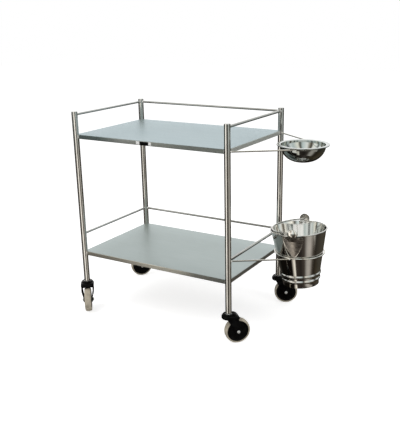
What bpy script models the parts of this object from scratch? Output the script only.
import bpy
import bmesh
import math
from mathutils import Matrix, Vector

# Stainless dressing trolley. Four tube posts stand on swivel casters and carry two
# shelves with guard rods on three sides. Two ring brackets at the right end hold a
# bowl and a bucket. Sizes are in metres, X runs along the trolley, -Y is the open front.

for old in list(bpy.data.objects):
    bpy.data.objects.remove(old, do_unlink=True)

# Clearance left between pieces that touch or pass through each other.
fit_gap = 0.0003

# Posts
tube_diameter = 0.025
tube_wall = 0.0012
post_spacing_x = 0.725
post_spacing_y = 0.463
post_above_rail = 0.013
post_cap_depth = 0.006
post_cap_edge = 0.0008

# Shelves
top_shelf_height = 0.787
bottom_shelf_height = 0.270
shelf_overhang = 0.0025
shelf_lip = 0.018
shelf_return = 0.009
shelf_sheet = 0.0012
shelf_bend = 0.002

# Guard rods
rail_diameter = 0.0095
top_rail_rise = 0.082
bottom_rail_rise = 0.080

# Ring brackets
bracket_rod = 0.006
bowl_ring_reach = 0.2015
bucket_ring_reach = 0.1985
bracket_arm_drop = 0.004
bowl_ring_drop = 0.0055
bucket_ring_rise = 0.083

# Bowl
bowl_rim_radius = 0.1015
bowl_throat_radius = 0.0870
bowl_flat_radius = 0.018
bowl_depth = 0.0655
bowl_sheet = 0.0009
bowl_roll = 0.0018
bowl_ring_clearance = 0.0012

# Bucket, drops measured down from its rim and rises up from its foot
bucket_rim_radius = 0.1095
bucket_roll = 0.0022
bucket_taper = 0.172
bucket_height = 0.231
bucket_above_ring = 0.095
bucket_sheet = 0.0008
bucket_bead_rise = 0.051
bucket_bead_spacing = 0.022
bucket_bead_width = 0.015
bucket_bead_bulge = 0.0038
bucket_foot_inset = 0.0055
bucket_bottom_rise = 0.020
bucket_bottom_lip = 0.006
bucket_lean = math.radians(4.0)
bucket_turn = math.radians(11.0)

# Bucket ears and bail
ear_sheet = 0.0012
ear_boss_radius = 0.0185
ear_boss_rise = 0.008
ear_boss_depth = 0.009
ear_shield_top = 0.0088
ear_shield_half_width = 0.0415
ear_tip_half_width = 0.004
bail_wire = 0.006
bail_radius = 0.1045
bail_bend = 0.007
bail_head = 0.0042
bail_head_length = 0.003

# Casters
wheel_radius = 0.052
tyre_width = 0.029
tyre_depth = 0.008
tyre_shoulder = 0.006
hub_dish = 0.0020
hub_boss_radius = 0.011
hub_boss_width = 0.030
wheel_trail = 0.0355
wheel_to_crown = 0.0045
crown_height = 0.0158
crown_half_width = 0.0285
crown_front = 0.043
crown_front_corner = 0.012
crown_front_slope = 0.011
crown_round = 0.005
crown_edge = 0.0012
leg_thickness = 0.0045
leg_root_thickness = 0.0062
leg_side_gap = 0.001
leg_boss_radius = 0.012
axle_radius = 0.004
axle_head_radius = 0.0068
axle_head_height = 0.0042
nut_radius = 0.0075
nut_height = 0.004
race_radius = 0.0235
race_height = 0.004
stem_collar_extra = 0.001
stem_collar_height = 0.0022
stem_neck_radius = 0.006
stem_head_radius = 0.0085
stem_head_height = 0.005
stem_insert = 0.040

# Which way each caster has swung, measured from +X.
caster_swing = {
    "front_left": math.radians(309.0),
    "front_right": math.radians(46.0),
    "back_left": math.radians(228.0),
    "back_right": math.radians(27.0),
}

# Facets round the pieces
tube_sides = 20
rod_sides = 8
ring_steps = 32
vessel_steps = 28
wheel_steps = 20
small_steps = 12

# Sizes that follow from the ones above
post_radius = tube_diameter / 2
post_bore = post_radius - tube_wall
half_x = post_spacing_x / 2
half_y = post_spacing_y / 2
top_rail_height = top_shelf_height + top_rail_rise
bottom_rail_height = bottom_shelf_height + bottom_rail_rise
trolley_height = top_rail_height + post_above_rail
crown_underside = 2 * wheel_radius + wheel_to_crown
crown_top = crown_underside + crown_height
race_bottom = crown_top + fit_gap
race_top = race_bottom + race_height
collar_bottom = race_top + fit_gap
collar_top = collar_bottom + stem_collar_height
post_foot = collar_top + fit_gap
rod_radius = bracket_rod / 2
wire_radius = bail_wire / 2
bowl_ring_height = top_shelf_height - bowl_ring_drop
bucket_ring_height = bottom_shelf_height + bucket_ring_rise
bowl_centre_x = half_x + bowl_ring_reach
bucket_centre_x = half_x + bucket_ring_reach

post_places = {
    "front_left": (-half_x, -half_y),
    "front_right": (half_x, -half_y),
    "back_left": (-half_x, half_y),
    "back_right": (half_x, half_y),
}


def place_piece(name, mesh, place):
    piece = bpy.data.objects.new(name, mesh)
    bpy.context.collection.objects.link(piece)
    piece.matrix_world = place
    return piece


def finish(piece, colour, metallic, roughness):
    material = bpy.data.materials.new(piece.name + " finish")
    material.use_nodes = True
    shader = material.node_tree.nodes["Principled BSDF"]
    shader.inputs["Base Color"].default_value = (*colour, 1.0)
    shader.inputs["Metallic"].default_value = metallic
    shader.inputs["Roughness"].default_value = roughness
    piece.data.materials.append(material)
    return piece


def polished_steel(piece):
    return finish(piece, (0.72, 0.72, 0.70), 1.0, 0.16)


def satin_steel(piece, colour):
    return finish(piece, colour, 1.0, 0.42)


def black_plastic(piece):
    return finish(piece, (0.012, 0.012, 0.013), 0.0, 0.38)


def as_cutter(piece):
    piece.hide_render = True
    piece.display_type = "WIRE"
    return piece


def combine(piece, tool, operation):
    boolean = piece.modifiers.new(tool.name, "BOOLEAN")
    boolean.operation = operation
    boolean.solver = "EXACT"
    boolean.object = tool


def turned(name, outline, steps, place, closed):
    # Outline points are (radius, height), down the outer side first.
    mesh = bpy.data.meshes.new(name)
    points = [(radius, 0.0, height) for radius, height in outline]
    edges = [(index, index + 1) for index in range(len(points) - 1)]
    if closed:
        edges.append((len(points) - 1, 0))
    mesh.from_pydata(points, edges, [])
    piece = place_piece(name, mesh, place)
    screw = piece.modifiers.new("turn", "SCREW")
    screw.axis = "Z"
    screw.angle = 2 * math.pi
    screw.steps = steps
    screw.render_steps = steps
    screw.use_merge_vertices = True
    screw.merge_threshold = 0.00005
    screw.use_smooth_shade = True
    return piece


def thicken(piece, thickness, offset):
    solidify = piece.modifiers.new("sheet", "SOLIDIFY")
    solidify.thickness = thickness
    solidify.offset = offset
    solidify.use_even_offset = True
    return piece


def smooth(piece):
    for face in piece.data.polygons:
        face.use_smooth = True
    return piece


def box(name, low, high, place):
    shape = bmesh.new()
    bmesh.ops.create_cube(shape, size=1.0)
    size = Vector(high) - Vector(low)
    middle = (Vector(high) + Vector(low)) / 2
    bmesh.ops.scale(shape, vec=size, verts=shape.verts)
    bmesh.ops.translate(shape, vec=middle, verts=shape.verts)
    mesh = bpy.data.meshes.new(name)
    shape.to_mesh(mesh)
    shape.free()
    return place_piece(name, mesh, place)


def rod(name, start, end, radius, sides, place):
    start = Vector(start)
    end = Vector(end)
    direction = end - start
    turn = direction.to_track_quat("Z", "Y").to_matrix().to_4x4()
    shape = bmesh.new()
    bmesh.ops.create_cone(
        shape,
        cap_ends=True,
        segments=sides,
        radius1=radius,
        radius2=radius,
        depth=direction.length,
        matrix=Matrix.Translation((start + end) / 2) @ turn,
    )
    mesh = bpy.data.meshes.new(name)
    shape.to_mesh(mesh)
    shape.free()
    return smooth(place_piece(name, mesh, place))


def ring(name, radius, thickness, place):
    bpy.ops.mesh.primitive_torus_add(
        major_segments=ring_steps,
        minor_segments=rod_sides,
        major_radius=radius,
        minor_radius=thickness,
    )
    piece = bpy.context.active_object
    piece.name = name
    piece.data.name = name
    piece.matrix_world = place
    return smooth(piece)


def loft(name, rows, place):
    # Each row is a closed loop of the same number of points.
    shape = bmesh.new()
    loops = [[shape.verts.new(point) for point in row] for row in rows]
    count = len(rows[0])
    for lower, upper in zip(loops, loops[1:]):
        for index in range(count):
            after = (index + 1) % count
            shape.faces.new((lower[index], lower[after], upper[after], upper[index]))
    shape.faces.new(list(reversed(loops[0])))
    shape.faces.new(loops[-1])
    bmesh.ops.recalc_face_normals(shape, faces=shape.faces)
    mesh = bpy.data.meshes.new(name)
    shape.to_mesh(mesh)
    shape.free()
    return place_piece(name, mesh, place)


def blend(start, end, share):
    return start + (end - start) * share


def arc(centre_r, centre_z, radius, first, last, count):
    points = []
    for index in range(count + 1):
        angle = math.radians(blend(first, last, index / count))
        points.append((centre_r + radius * math.cos(angle), centre_z + radius * math.sin(angle)))
    return points


here = Matrix.Identity(4)

# Posts: square-cut tubes with a pressed disc in the mouth of each.
post_cutters = {}
for corner, (post_x, post_y) in post_places.items():
    place = Matrix.Translation((post_x, post_y, 0))
    post = turned(
        "post_" + corner,
        [
            (post_radius, trolley_height),
            (post_radius, post_foot),
            (post_bore, post_foot),
            (post_bore, trolley_height),
        ],
        tube_sides,
        place,
        True,
    )
    polished_steel(post)

    cap_radius = post_bore - fit_gap
    cap = turned(
        "post_cap_" + corner,
        [
            (0.0, trolley_height),
            (cap_radius - post_cap_edge, trolley_height),
            (cap_radius, trolley_height - post_cap_edge),
            (cap_radius, trolley_height - post_cap_depth),
            (0.0, trolley_height - post_cap_depth),
        ],
        tube_sides,
        place,
        False,
    )
    polished_steel(cap)

    cutter = rod(
        "post clearance " + corner,
        (0, 0, 0),
        (0, 0, trolley_height + tube_diameter),
        post_radius + fit_gap,
        tube_sides,
        place,
    )
    post_cutters[corner] = as_cutter(cutter)


# Shelves: a sheet with its edges turned down and back in, notched round the posts.
def shelf(name, surface, colour):
    edge_x = half_x + shelf_overhang
    edge_y = half_y + shelf_overhang
    underside = surface - shelf_lip
    piece = box(name, (-edge_x, -edge_y, underside), (edge_x, edge_y, surface), here)
    bend = piece.modifiers.new("bend", "BEVEL")
    bend.width = shelf_bend
    bend.segments = 2

    inner_x = edge_x - shelf_sheet
    inner_y = edge_y - shelf_sheet
    hollow = box(
        name + " hollow",
        (-inner_x, -inner_y, underside + shelf_sheet),
        (inner_x, inner_y, surface - shelf_sheet),
        here,
    )
    combine(piece, as_cutter(hollow), "DIFFERENCE")

    open_x = edge_x - shelf_return
    open_y = edge_y - shelf_return
    mouth = box(
        name + " mouth",
        (-open_x, -open_y, underside - shelf_sheet),
        (open_x, open_y, underside + 2 * shelf_sheet),
        here,
    )
    combine(piece, as_cutter(mouth), "DIFFERENCE")
    for cutter in post_cutters.values():
        combine(piece, cutter, "DIFFERENCE")
    satin_steel(piece, colour)


shelf("top_shelf", top_shelf_height, (0.50, 0.58, 0.61))
shelf("bottom_shelf", bottom_shelf_height, (0.46, 0.50, 0.50))


# Guard rods on the left, back and right, coped to the posts. The front stays open.
def guard_rod(name, first, second, height):
    start = (*post_places[first], height)
    end = (*post_places[second], height)
    piece = rod(name, start, end, rail_diameter / 2, rod_sides, here)
    combine(piece, post_cutters[first], "DIFFERENCE")
    combine(piece, post_cutters[second], "DIFFERENCE")
    polished_steel(piece)


for level, height in (("top", top_rail_height), ("bottom", bottom_rail_height)):
    guard_rod(level + "_rail_left", "front_left", "back_left", height)
    guard_rod(level + "_rail_back", "back_left", "back_right", height)
    guard_rod(level + "_rail_right", "front_right", "back_right", height)


# Ring brackets: a rod ring on two straight arms from the right-hand posts. The ends of
# the arms are notched to seat under the ring.
def bracket(name, ring_radius, centre_x, height):
    arm_height = height - bracket_arm_drop
    place = Matrix.Translation((centre_x, 0, height))
    hoop = ring(name + "_ring", ring_radius, rod_radius, place)
    polished_steel(hoop)
    clearance = ring(name + " ring clearance", ring_radius, rod_radius + fit_gap, place)
    as_cutter(clearance)
    for side, corner, direction in (("front", "front_right", -1), ("back", "back_right", 1)):
        start = (*post_places[corner], arm_height)
        end = (centre_x, direction * ring_radius, arm_height)
        arm = rod(name + "_arm_" + side, start, end, rod_radius, rod_sides, here)
        combine(arm, post_cutters[corner], "DIFFERENCE")
        combine(arm, clearance, "DIFFERENCE")
        polished_steel(arm)


bowl_ring_radius = bowl_throat_radius + bowl_sheet / 2 + bowl_ring_clearance + rod_radius
bracket("bowl_bracket", bowl_ring_radius, bowl_centre_x, bowl_ring_height)

# Bowl: a spun sheet with a flat foot, a round wall and a wide rim rolled at its edge.
bowl_rim_underside = rod_radius + fit_gap
bowl_rim_height = bowl_rim_underside + bowl_sheet / 2
bowl_line = arc(bowl_rim_radius - bowl_roll, bowl_rim_height - bowl_roll, bowl_roll, -110, 90, 5)
bowl_line.append((bowl_throat_radius + 2 * bowl_roll, bowl_rim_height))
wall_steps = 9
for index in range(wall_steps + 1):
    angle = math.radians(90 * (1 - index / wall_steps))
    reach = bowl_throat_radius - bowl_flat_radius
    radius = bowl_flat_radius + reach * math.sin(angle)
    height = bowl_rim_height - bowl_roll - bowl_depth * math.cos(angle)
    bowl_line.append((radius, height))
bowl_line.append((0.0, bowl_rim_height - bowl_roll - bowl_depth))
bowl_place = Matrix.Translation((bowl_centre_x, 0, bowl_ring_height))
bowl = turned("bowl", bowl_line, vessel_steps, bowl_place, False)
polished_steel(thicken(bowl, bowl_sheet, 0.0))


# Bucket: its local origin is on its axis at the level of the ring.
def wall_radius(drop):
    return bucket_rim_radius - bucket_taper * max(0.0, drop - bucket_roll)


bucket_rim = bucket_above_ring
bead_drop = bucket_height - bucket_bead_rise
bottom_drop = bucket_height - bucket_bottom_rise
ring_wall = wall_radius(bucket_above_ring) + bucket_sheet / 2
lean_room = ring_wall * math.sin(bucket_lean) * bucket_taper + ring_wall * (1 - math.cos(bucket_lean))
ring_facet = math.cos(math.pi / ring_steps)
bucket_ring_radius = (ring_wall + lean_room + fit_gap) / ring_facet + rod_radius
bracket("bucket_bracket", bucket_ring_radius, bucket_centre_x, bucket_ring_height)

bucket_place = (
    Matrix.Translation((bucket_centre_x, 0, bucket_ring_height))
    @ Matrix.Rotation(-bucket_lean, 4, "Y")
    @ Matrix.Rotation(bucket_turn, 4, "Z")
)


def bead(middle):
    points = []
    for share, bulge in ((-0.5, 0.0), (-0.3, 0.7), (0.0, 1.0), (0.3, 0.7), (0.5, 0.0)):
        drop = middle + share * bucket_bead_width
        points.append((wall_radius(drop) + bulge * bucket_bead_bulge, bucket_rim - drop))
    return points


roll_centre = bucket_rim_radius + bucket_roll
bucket_line = arc(roll_centre, bucket_rim - bucket_roll, bucket_roll, -120, 180, 7)
bucket_line += bead(bead_drop)
bucket_line += bead(bead_drop + bucket_bead_spacing)
foot_drop = bead_drop + bucket_bead_spacing + bucket_bead_width
foot_radius = wall_radius(foot_drop)
bucket_line.append((foot_radius, bucket_rim - foot_drop))
bucket_line.append((foot_radius - bucket_foot_inset / 3, bucket_rim - bucket_height + bucket_sheet * 3))
bucket_line.append((foot_radius - bucket_foot_inset, bucket_rim - bucket_height + bucket_sheet / 2))
body = turned("bucket_body", bucket_line, vessel_steps, bucket_place, False)
polished_steel(thicken(body, bucket_sheet, 0.0))

# The bottom is a dished disc with a turned-down edge, set inside the wall above the foot.
disc_height = bucket_rim - bottom_drop
disc_room = bucket_sheet / 2 + 2 * fit_gap
disc_edge = wall_radius(bottom_drop) - disc_room
disc_lip_edge = wall_radius(bottom_drop + bucket_bottom_lip) - disc_room
bottom = turned(
    "bucket_bottom",
    [
        (0.0, disc_height + bucket_sheet),
        (disc_edge * 0.6, disc_height + bucket_sheet),
        (disc_edge - bucket_sheet, disc_height),
        (disc_edge, disc_height - bucket_sheet),
        (disc_lip_edge, disc_height - bucket_bottom_lip),
    ],
    vessel_steps,
    bucket_place,
    False,
)
polished_steel(thicken(bottom, bucket_sheet, -1.0))

# Ears: a shield-shaped plate wrapped on the wall, stepped out past the rolled rim and
# raised into a round boss that holds the end of the bail.
roll_reach = 2 * bucket_roll + bucket_sheet / 2
ear_step = roll_reach + fit_gap
ear_tip = bucket_above_ring - rod_radius - 2 * fit_gap
shield_shape = (
    (0.00, 0.85),
    (0.05, 0.95),
    (0.16, 1.00),
    (0.31, 0.94),
    (0.50, 0.80),
    (0.69, 0.62),
    (0.85, 0.41),
    (0.96, 0.21),
)


def ear_rows():
    rows = []
    for share in (0.985, 0.88, 0.64, 0.32, 0.0, -0.32, -0.60, -0.80):
        drop = -ear_boss_rise - share * ear_boss_radius
        if drop < ear_shield_top - ear_sheet:
            rows.append((drop, ear_boss_radius * math.sqrt(1 - share * share)))
    length = ear_tip - ear_shield_top
    for share, width in shield_shape:
        rows.append((ear_shield_top + share * length, width * ear_shield_half_width))
    rows.append((ear_tip, ear_tip_half_width))
    return rows


def ear_lift(across, drop):
    reach = math.hypot(across, drop + ear_boss_rise) / ear_boss_radius
    if drop < ear_shield_top:
        step = ear_step
    elif reach < 1:
        step = ear_step * (1 - reach)
    else:
        step = 0.0
    boss = ear_boss_depth * math.sqrt(max(0.0, 1 - reach * reach))
    return bucket_sheet / 2 + fit_gap + step + boss


def ear(name, direction):
    columns = 8
    shape = bmesh.new()
    grid = []
    for drop, half_width in ear_rows():
        row = []
        for index in range(columns + 1):
            across = half_width * (2 * index / columns - 1)
            radius = wall_radius(drop) + ear_lift(across, drop)
            angle = across / bucket_rim_radius
            point = (-radius * math.sin(angle), radius * math.cos(angle), bucket_rim - drop)
            row.append(shape.verts.new(point))
        grid.append(row)
    for upper, lower in zip(grid, grid[1:]):
        for index in range(columns):
            shape.faces.new((upper[index], upper[index + 1], lower[index + 1], lower[index]))
    bmesh.ops.recalc_face_normals(shape, faces=shape.faces)
    outward = sum((face.normal for face in shape.faces), Vector())
    if outward.y < 0:
        bmesh.ops.reverse_faces(shape, faces=shape.faces)
    mesh = bpy.data.meshes.new(name)
    shape.to_mesh(mesh)
    shape.free()
    turn = Matrix.Identity(4) if direction > 0 else Matrix.Rotation(math.pi, 4, "Z")
    piece = smooth(place_piece(name, mesh, bucket_place @ turn))
    thicken(piece, ear_sheet, 1.0)
    pivot = bucket_rim + ear_boss_rise
    hole = rod(
        name + " pivot hole",
        (0, bail_radius, pivot),
        (0, bail_radius + 2 * ear_boss_radius, pivot),
        wire_radius + fit_gap,
        rod_sides,
        bucket_place @ turn,
    )
    combine(piece, as_cutter(hole), "DIFFERENCE")
    polished_steel(piece)


ear("bucket_ear_front", -1)
ear("bucket_ear_back", 1)

# Bail: one bent wire with headed ends outside the bosses, folded down on the rim
# towards the trolley.
boss_face = bucket_rim_radius + bucket_sheet / 2 + fit_gap + ear_step + ear_boss_depth + ear_sheet
head_start = boss_face + 2 * fit_gap
fold = math.asin((ear_boss_rise - wire_radius - bucket_sheet / 2 - fit_gap) / bail_radius)
half_bail = [
    (0.0, head_start + bail_head_length, bail_head / wire_radius),
    (0.0, head_start, bail_head / wire_radius),
    (0.0, head_start - fit_gap / 2, 1.0),
    (0.0, bail_radius + bail_bend, 1.0),
]
for index in range(1, 4):
    angle = math.radians(90 * index / 3)
    bend_x = -bail_bend * (1 - math.cos(angle))
    bend_y = bail_radius + bail_bend * (1 - math.sin(angle))
    half_bail.append((bend_x, bend_y, 1.0))
arch_steps = 22
arch_start = math.acos(bail_bend / bail_radius)
arch = []
for index in range(1, arch_steps):
    angle = blend(arch_start, -arch_start, index / arch_steps)
    arch.append((-bail_radius * math.cos(angle), bail_radius * math.sin(angle), 1.0))
other_half = [(x, -y, scale) for x, y, scale in reversed(half_bail)]

wire = bpy.data.curves.new("bail wire", "CURVE")
wire.dimensions = "3D"
wire.bevel_depth = wire_radius
wire.bevel_resolution = 2
wire.use_fill_caps = True
path = wire.splines.new("POLY")
route = half_bail + arch + other_half
path.points.add(len(route) - 1)
for point, (x, y, scale) in zip(path.points, route):
    point.co = (x, y, 0.0, 1.0)
    point.radius = scale
drawn = bpy.data.objects.new("bail wire", wire)
bpy.context.collection.objects.link(drawn)
bpy.context.view_layer.update()
bail_mesh = bpy.data.meshes.new_from_object(drawn.evaluated_get(bpy.context.evaluated_depsgraph_get()))
bpy.data.objects.remove(drawn, do_unlink=True)
shape = bmesh.new()
shape.from_mesh(bail_mesh)
bmesh.ops.remove_doubles(shape, verts=shape.verts, dist=0.00001)
bmesh.ops.recalc_face_normals(shape, faces=shape.faces)
shape.to_mesh(bail_mesh)
shape.free()
bail_place = (
    bucket_place
    @ Matrix.Translation((0, 0, bucket_rim + ear_boss_rise))
    @ Matrix.Rotation(-fold, 4, "Y")
)
bail = smooth(place_piece("bucket_bail", bail_mesh, bail_place))
polished_steel(bail)


# Casters
def stem(name, place):
    plug_radius = post_bore - fit_gap
    collar_radius = post_radius + stem_collar_extra
    head_top = crown_underside - fit_gap
    plug_top = post_foot + stem_insert
    piece = turned(
        name,
        [
            (0.0, plug_top),
            (plug_radius - 0.001, plug_top),
            (plug_radius, plug_top - 0.001),
            (plug_radius, collar_top),
            (collar_radius, collar_top),
            (collar_radius, collar_bottom),
            (stem_neck_radius, collar_bottom),
            (stem_neck_radius, head_top),
            (stem_head_radius, head_top),
            (stem_head_radius, head_top - stem_head_height),
            (0.0, head_top - stem_head_height),
        ],
        small_steps,
        place,
        False,
    )
    finish(piece, (0.45, 0.45, 0.44), 1.0, 0.35)


def swivel_race(name, place):
    bore = stem_neck_radius + fit_gap
    slope = race_height / 2
    piece = turned(
        name,
        [
            (race_radius - slope, race_top),
            (race_radius, race_top - slope),
            (race_radius, race_bottom),
            (bore, race_bottom),
            (bore, race_top),
        ],
        tube_sides,
        place,
        True,
    )
    black_plastic(piece)


# Fork: a hooded crown whose front slopes down over the wheel, and two legs that start wide
# under the crown and draw in to the axle, each with a straight rear edge.
def crown_outline(inset, pull):
    half = crown_half_width - inset
    corner_x = crown_front - inset - pull - crown_front_corner
    corner_y = half - crown_front_corner
    points = arc(corner_x, corner_y, crown_front_corner, 0, 90, 4)
    points += arc(0.0, 0.0, half, 90, 270, 10)
    points += arc(corner_x, -corner_y, crown_front_corner, 270, 360, 4)
    return points


def crown_rows():
    levels = [(0.0, crown_edge), (crown_edge, 0.0), (crown_height - 2 * crown_round, 0.0)]
    for angle in (0, 30, 60, 90):
        rise = crown_height - crown_round * (1 - math.sin(math.radians(angle)))
        levels.append((rise, crown_round * (1 - math.cos(math.radians(angle)))))
    rows = []
    for rise, inset in levels:
        pull = crown_front_slope * (rise / crown_height) ** 2
        outline = crown_outline(inset, pull)
        rows.append([(x, y, crown_underside + rise) for x, y in outline])
    return rows


def leg_rows(side):
    axle_outer = hub_boss_width / 2 + leg_side_gap + leg_thickness
    root_outer = crown_half_width - fit_gap * 3
    leg_top = crown_underside + crown_height / 4
    leg_front = crown_front - crown_front_corner * 0.68
    leg_rear = -crown_half_width * 0.45
    rows = []
    for share in (1.0, 0.8, 0.62, 0.46, 0.3, 0.15, 0.0):
        height = blend(wheel_radius, leg_top, share)
        rear = blend(wheel_trail - leg_boss_radius, leg_rear, share)
        front = blend(wheel_trail + leg_boss_radius, leg_front, share)
        spread = min(1.0, max(0.0, (share - 0.08) / 0.62))
        spread = spread * spread * (3 - 2 * spread)
        outer = blend(axle_outer, root_outer, spread)
        # Behind the stem the leg follows the round end of the crown.
        rear_outer = min(outer, math.sqrt(root_outer ** 2 - min(rear, 0.0) ** 2))
        thickness = blend(leg_thickness, leg_root_thickness, spread)
        rows.append((height, rear, front, rear_outer, outer, thickness))
    for angle in (30, 60, 80):
        reach = leg_boss_radius * math.cos(math.radians(angle))
        height = wheel_radius - leg_boss_radius * math.sin(math.radians(angle))
        rows.append((height, wheel_trail - reach, wheel_trail + reach, axle_outer, axle_outer, leg_thickness))
    loops = []
    for height, rear, front, rear_outer, outer, thickness in rows:
        loops.append([
            (rear, side * (rear_outer - thickness), height),
            (front, side * (outer - thickness), height),
            (front, side * outer, height),
            (rear, side * rear_outer, height),
        ])
    return loops


def fork(name, place):
    piece = loft(name, crown_rows(), place)
    for side, word in ((1, "left"), (-1, "right")):
        leg = loft(name + " leg " + word, leg_rows(side), place)
        combine(piece, as_cutter(leg), "UNION")
    bore = rod(
        name + " stem bore",
        (0, 0, crown_underside - crown_height),
        (0, 0, crown_top + crown_height),
        stem_neck_radius + fit_gap,
        small_steps,
        place,
    )
    combine(piece, as_cutter(bore), "DIFFERENCE")
    axle_hole = rod(
        name + " axle hole",
        (wheel_trail, -2 * crown_half_width, wheel_radius),
        (wheel_trail, 2 * crown_half_width, wheel_radius),
        axle_radius + fit_gap,
        small_steps,
        place,
    )
    combine(piece, as_cutter(axle_hole), "DIFFERENCE")
    black_plastic(piece)


leg_face = hub_boss_width / 2 + leg_side_gap + leg_thickness


def axle_bolt(name, place):
    seat = leg_face + fit_gap
    top = seat + axle_head_height
    tail = -(leg_face + fit_gap + nut_height + fit_gap * 3)
    piece = turned(
        name,
        [
            (0.0, top),
            (axle_head_radius * 0.55, top - axle_head_height * 0.12),
            (axle_head_radius * 0.88, top - axle_head_height * 0.40),
            (axle_head_radius, top - axle_head_height * 0.75),
            (axle_head_radius, seat),
            (axle_radius, seat),
            (axle_radius, tail),
            (0.0, tail),
        ],
        small_steps,
        place,
        False,
    )
    finish(piece, (0.78, 0.78, 0.76), 1.0, 0.22)


def axle_nut(name, place):
    seat = -(leg_face + fit_gap)
    piece = rod(name, (0, 0, seat - nut_height), (0, 0, seat), nut_radius, 6, place)
    for face in piece.data.polygons:
        face.use_smooth = False
    hole = rod(
        name + " thread hole",
        (0, 0, seat - 2 * nut_height),
        (0, 0, seat + nut_height),
        axle_radius + fit_gap,
        small_steps,
        place,
    )
    combine(piece, as_cutter(hole), "DIFFERENCE")
    finish(piece, (0.55, 0.55, 0.53), 1.0, 0.35)


hub_radius = wheel_radius - tyre_depth


def wheel_hub(name, place):
    half_face = tyre_width / 2 - fit_gap * 2
    half_dish = half_face - hub_dish
    half_boss = hub_boss_width / 2
    bore = axle_radius + fit_gap
    side = [
        (hub_radius - hub_dish * 2, half_face),
        (hub_radius - hub_dish * 4, half_dish),
        (hub_boss_radius + hub_dish, half_dish),
        (hub_boss_radius, half_boss),
        (bore, half_boss),
    ]
    outline = [(hub_radius, half_face - hub_dish / 2), (hub_radius, -half_face + hub_dish / 2)]
    outline += [(radius, -height) for radius, height in side]
    outline += list(reversed(side))
    black_plastic(turned(name, outline, wheel_steps, place, True))


def tyre(name, place):
    half = tyre_width / 2
    inner = hub_radius + fit_gap
    outline = [(wheel_radius, 0.0)]
    lower = [
        (wheel_radius * 0.998, -half * 0.35),
        (wheel_radius - tyre_shoulder * 0.25, -half + tyre_shoulder * 0.75),
        (wheel_radius - tyre_shoulder * 0.75, -half + tyre_shoulder * 0.15),
        (wheel_radius - tyre_shoulder * 1.2, -half),
        (inner, -half),
    ]
    outline += lower
    outline += [(radius, -height) for radius, height in reversed(lower)]
    finish(turned(name, outline, wheel_steps, place, True), (0.50, 0.47, 0.39), 0.0, 0.55)


for corner, (post_x, post_y) in post_places.items():
    swivel = Matrix.Translation((post_x, post_y, 0)) @ Matrix.Rotation(caster_swing[corner], 4, "Z")
    axle = (
        swivel
        @ Matrix.Translation((wheel_trail, 0, wheel_radius))
        @ Matrix.Rotation(math.pi / 2, 4, "X")
    )
    caster = "caster_" + corner
    stem(caster + "_stem", Matrix.Translation((post_x, post_y, 0)))
    swivel_race(caster + "_swivel_race", swivel)
    fork(caster + "_fork", swivel)
    axle_bolt(caster + "_axle_bolt", axle)
    axle_nut(caster + "_axle_nut", axle)
    wheel_hub(caster + "_wheel_hub", axle)
    tyre(caster + "_tyre", axle)

# Put the middle of the whole object over the origin, with the wheels on the floor.
bpy.context.view_layer.update()
depsgraph = bpy.context.evaluated_depsgraph_get()
corners = []
for piece in bpy.data.objects:
    if not piece.hide_render:
        solid = piece.evaluated_get(depsgraph)
        corners += [piece.matrix_world @ vertex.co for vertex in solid.data.vertices]
low = [min(corner[axis] for corner in corners) for axis in range(3)]
high = [max(corner[axis] for corner in corners) for axis in range(3)]
shift = Vector((-(low[0] + high[0]) / 2, -(low[1] + high[1]) / 2, -low[2]))
for piece in bpy.data.objects:
    piece.location += shift
bpy.context.view_layer.update()
print("trolley centre moved by", tuple(round(value, 5) for value in shift))
